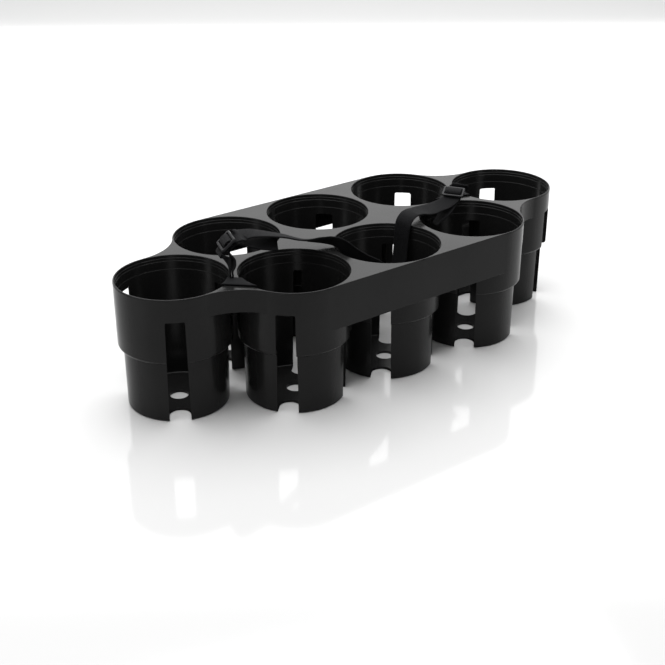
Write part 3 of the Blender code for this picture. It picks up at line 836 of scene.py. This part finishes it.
def woven_webbing(name):
    """Flat polypropylene webbing: slanted floats in columns along it, and a rolled selvedge."""
    shader = Shader(name, Roughness=0.8, Specular_IOR_Level=0.1)
    shader.surface.inputs["Sheen Weight"].default_value = 0.02
    shader.surface.inputs["Sheen Roughness"].default_value = 0.45
    uv = shader.add("ShaderNodeUVMap", uv_map="weave").outputs[0]
    split = shader.add("ShaderNodeSeparateXYZ", {0: uv}).outputs
    along = shader.math("DIVIDE", split[0], pick_pitch)
    across = shader.math("DIVIDE", split[1], warp_pitch)
    column = shader.math("FLOOR", across)
    phase = shader.math("ADD", along, shader.math("MULTIPLY", column, column_shift_share))
    within = shader.math("SUBTRACT", across, column)
    slant = shader.math("ADD", phase, shader.math("MULTIPLY", within, float_slant_share))
    wave = shader.math("ABSOLUTE", shader.math("SINE", shader.math("MULTIPLY", slant, pi)))
    rib = shader.math("SINE", shader.math("MULTIPLY", within, pi))
    weave = shader.math("MULTIPLY", shader.math("POWER", wave, 0.6), shader.math("POWER", rib, 0.5))
    place = shader.add("ShaderNodeTexCoord").outputs["Object"]
    fibre = shader.noise(place, fibre_scale, 2.0)
    height = shader.math("ADD", weave, shader.math("MULTIPLY", fibre, fibre_height_share))
    # Painted shade: the colour darkens where the weave is low, in the grooves between floats, and the
    # fibre noise adds random tone.
    crease_shade_and_fibre_tone = shader.math("ADD", shader.math("MULTIPLY", weave, weave_shade_share),
                        shader.math("MULTIPLY", fibre, fibre_tone_share))
    colour = shader.mixed(shader.mapped(crease_shade_and_fibre_tone, 0.0, 1.0, 0.1, 0.9), darkest_cloth, lightest_cloth)
    shader.feed("Base Color", colour)
    shader.bump(height, weave_height)
    return shader.material


def pale_floor():
    """A wide floor just under the standing plane, glossy enough to mirror the cups."""
    shader = Shader("pale_floor", Roughness=0.08)
    shader.surface.inputs["Base Color"].default_value = floor_tone
    shape = bmesh.new()
    bmesh.ops.create_circle(shape, cap_ends=True, radius=floor_radius, segments=floor_segments)
    floor = tidy_mesh(shape, "floor", shader.material)
    floor.location.z = -floor_drop


def soft_light(name, place, aim, size, power):
    """A rectangular light that the camera doesn't see."""
    light = bpy.data.lights.new(name, "AREA")
    light.shape = "RECTANGLE"
    light.size, light.size_y = size
    light.energy = power
    lamp = bpy.data.objects.new(name, light)
    lamp.location = place
    lamp.rotation_euler = (Vector(aim) - Vector(place)).to_track_quat("-Z", "Y").to_euler()
    lamp.visible_camera = False
    bpy.context.scene.collection.objects.link(lamp)


def studio():
    """White surroundings and the soft lights."""
    world = bpy.data.worlds.new("studio")
    bpy.context.scene.world = world
    world.use_nodes = True
    background = world.node_tree.nodes["Background"]
    background.inputs[0].default_value = (1, 1, 1, 1)
    background.inputs[1].default_value = world_strength
    for name, settings in soft_lights.items():
        soft_light(name, *settings)
    bpy.context.scene.view_settings.view_transform = "Standard"


def camera():
    """The photograph's camera, fitted to the rims and bases of the cups."""
    lens = bpy.data.cameras.new("camera")
    lens.sensor_width = sensor_width
    lens.lens = focal_length
    lens.clip_start = 0.05
    lens.clip_end = 20
    holder = bpy.data.objects.new("camera", lens)
    right = camera_right.normalized()
    back = camera_back.normalized()
    right = (right - back * right.dot(back)).normalized()
    up = back.cross(right)
    matrix = Matrix((right, up, back)).transposed().to_4x4()
    matrix.translation = camera_place
    holder.matrix_world = matrix
    bpy.context.scene.collection.objects.link(holder)
    bpy.context.scene.camera = holder


def dress():
    """Every visible piece, with the body that it rides and the nodes that it stands for."""
    tray_plastic = moulded_plastic("tray_plastic")
    buckle_plastic = moulded_plastic("buckle_plastic")
    cloth = woven_webbing("webbing")
    tray = moulded_tray(tray_plastic)
    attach(tray, "tray")
    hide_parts(*cup_places)
    stations, middle = long_route()
    frames = frames_along(stations)
    left_half = webbing("strap_left_half", frames[:middle + 1], cloth)
    right_half = webbing("strap_right_half", frames[middle:], cloth)
    halves = ((left_half, ("strap_run_left", "strap_dip")), (right_half, ("strap_run_right",)))
    for piece, nodes in halves:
        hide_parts(*nodes)
    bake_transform(left_half)
    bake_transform(right_half)
    for side in necks:
        body = side + "_buckle"
        pieces = [(band_round_neck(side, cloth), "tray", "strap_wrap_" + side, "webbing")]
        layer, end = anchor_layers(side, cloth)
        pieces.append((layer, "tray", "strap_rise_" + side, "webbing"))
        pieces.append((end, "tray", "strap_tail_" + side, "webbing"))
        pieces.append((fold_over_bar(side, cloth), body, "strap_fold_" + side, "webbing"))
        pieces.append((buckle_frame(side, buckle_plastic), body, "buckle_" + side, "buckle_plastic"))
        for piece, carrier, node, slot_name in pieces:
            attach(piece, carrier)
            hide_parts(node)


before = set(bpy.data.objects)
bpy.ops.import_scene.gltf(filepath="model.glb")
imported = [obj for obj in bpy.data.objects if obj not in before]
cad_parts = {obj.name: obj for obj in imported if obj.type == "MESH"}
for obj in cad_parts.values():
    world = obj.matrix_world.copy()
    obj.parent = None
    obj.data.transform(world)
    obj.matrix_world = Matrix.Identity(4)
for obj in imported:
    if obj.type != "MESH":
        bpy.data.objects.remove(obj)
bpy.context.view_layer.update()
camera()
studio()
pale_floor()
dress()
